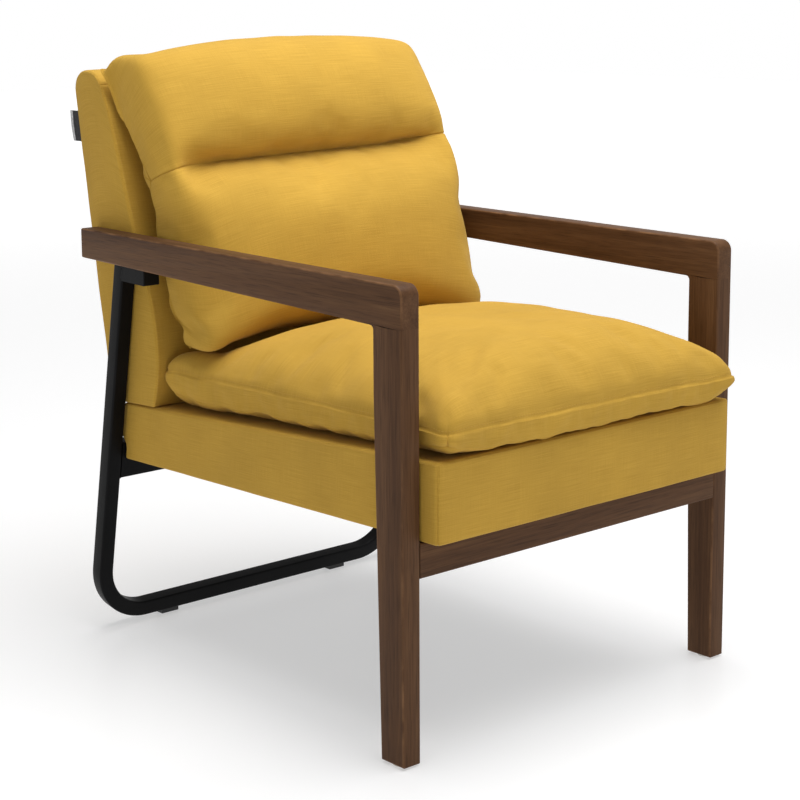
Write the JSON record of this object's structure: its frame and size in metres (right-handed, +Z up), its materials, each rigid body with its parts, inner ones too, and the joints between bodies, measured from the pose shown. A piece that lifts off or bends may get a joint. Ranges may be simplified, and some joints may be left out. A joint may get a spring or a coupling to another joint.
{
  "type": "lounge armchair",
  "caption": "Timber and steel lounge armchair: square arms and tapered front legs, leaning rear tube loop, boxed seat, loose cushion and flap back pillow.",
  "frame": {"origin": "on the floor, under the middle of the chair's bounding box", "axes": "+Z up; -Y is the way the sitter faces; -X is the sitter's right-hand side and +X the left-hand side"},
  "size_m": [0.61, 0.7957, 0.864],
  "materials": {
    "walnut": "dark satin lacquer, fine straight grain",
    "birch": "unfinished timber",
    "black_steel": "satin black powder coat",
    "zinc_steel": "zinc plated",
    "pale_plastic": "moulded nylon",
    "black_plastic": "moulded",
    "mustard_fabric": "slubby plain weave",
    "foam": "open-cell foam",
    "webbing": "woven elastic webbing",
    "black_cloth": "spun-bonded cloth",
    "label_cloth": "plain blank tape"
  },
  "bodies": {
    "frame": {"arm_bolt_l": "zinc_steel", "arm_bolt_r": "zinc_steel", "arm_dowel_front_l": "birch", "arm_dowel_front_r": "birch", "arm_dowel_rear_l": "birch", "arm_dowel_rear_r": "birch", "arm_tab_l": "black_steel", "arm_tab_r": "black_steel", "armrest_l": "walnut", "armrest_r": "walnut", "back_base_cloth": "black_cloth", "back_bolt_l": "zinc_steel", "back_bolt_r": "zinc_steel", "back_cover": "mustard_fabric", "back_foam": "foam", "back_label": "label_cloth", "back_plank_bottom": "birch", "back_rail_top": "birch", "back_stile_l": "birch", "back_stile_r": "birch", "back_strap_1": "webbing", "back_strap_2": "webbing", "back_strap_3": "webbing", "crossbar": "black_steel", "front_leg_l": "walnut", "front_leg_r": "walnut", "front_rail": "walnut", "leg_glide_l": "pale_plastic", "leg_glide_r": "pale_plastic", "loop_glide_l": "black_plastic", "loop_glide_r": "black_plastic", "rail_dowel_low_l": "birch", "rail_dowel_low_r": "birch", "rail_dowel_top_l": "birch", "rail_dowel_top_r": "birch", "rear_loop": "black_steel", "seat_board_front": "birch", "seat_board_l": "birch", "seat_board_r": "birch", "seat_board_rear": "birch", "seat_bolt_front_l": "zinc_steel", "seat_bolt_front_r": "zinc_steel", "seat_bolt_rear_l": "zinc_steel", "seat_bolt_rear_r": "zinc_steel", "seat_corner_block_l": "birch", "seat_corner_block_r": "birch", "seat_cover": "mustard_fabric", "seat_dust_cloth": "black_cloth", "seat_foam": "foam", "seat_strap_1": "webbing", "seat_strap_2": "webbing", "seat_strap_3": "webbing", "seat_strap_4": "webbing"},
    "seat_cushion": {"seat_cushion": "mustard_fabric", "seat_cushion_zip": "black_plastic"},
    "back_pillow": {"back_pillow": "mustard_fabric"}
  },
  "joints": [
    {"name": "seat_cushion_slide", "type": "slide", "parent": "frame", "child": "seat_cushion", "axis": [0, -0.9988, 0.0488], "range_m": [0, 0.6]},
    {"name": "back_pillow_hinge", "type": "hinge", "parent": "frame", "child": "back_pillow", "pos_m": [0, 0.3191, 0.82], "axis": [-1, 0, 0], "range_deg": [0, 95]}
  ]
}
